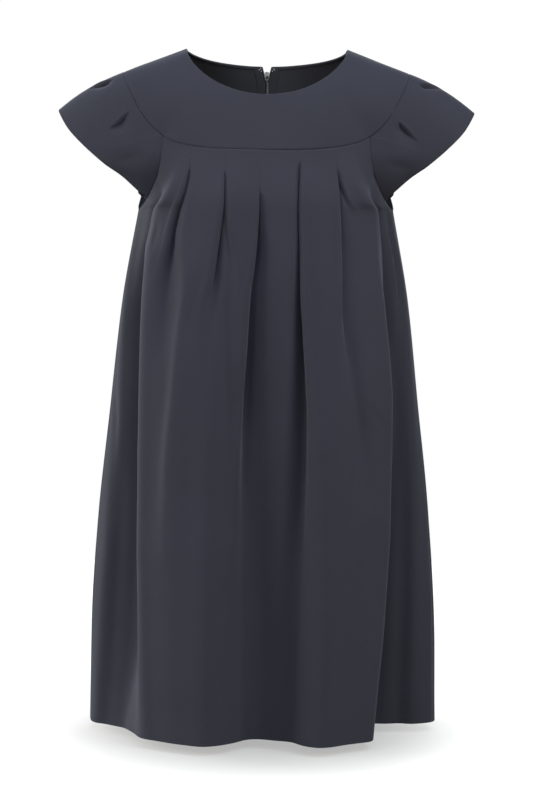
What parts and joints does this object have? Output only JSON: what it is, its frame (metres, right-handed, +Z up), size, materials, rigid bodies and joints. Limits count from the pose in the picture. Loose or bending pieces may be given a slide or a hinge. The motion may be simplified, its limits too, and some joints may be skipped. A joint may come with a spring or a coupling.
{
  "type": "shift dress",
  "caption": "Cap-sleeved shift dress with a round yoke, released front tucks, a scoop neck and a zip at the centre back, in its hollow worn form.",
  "frame": {"origin": "midway between the two neck points of the shoulder seams, at their height", "axes": "+Z up along the dress, the front faces -Y, +X towards the wearer's left"},
  "size_m": [0.533, 0.2799, 0.8702],
  "materials": {
    "cloth": "fine matt weave with a soft sheen",
    "back_cloth": "fine matt weave with a soft sheen",
    "zip_tape": "knitted tape",
    "zip_metal": "satin"
  },
  "bodies": {
    "dress": {"front_yoke": "cloth", "front_panel": "cloth", "back_left": "back_cloth", "back_right": "back_cloth", "sleeve_left": "cloth", "sleeve_right": "cloth", "zip_tape_left": "zip_tape", "zip_tape_right": "zip_tape", "zip_chain": "zip_metal", "zip_slider": "zip_metal"},
    "zip_pull": {"zip_pull": "zip_metal"}
  },
  "joints": [
    {"name": "zip_pull_swing", "type": "hinge", "parent": "dress", "child": "zip_pull", "pos_m": [0, 0.07949, -0.02902], "axis": [1, 0, 0], "range_deg": [0, 170]}
  ]
}
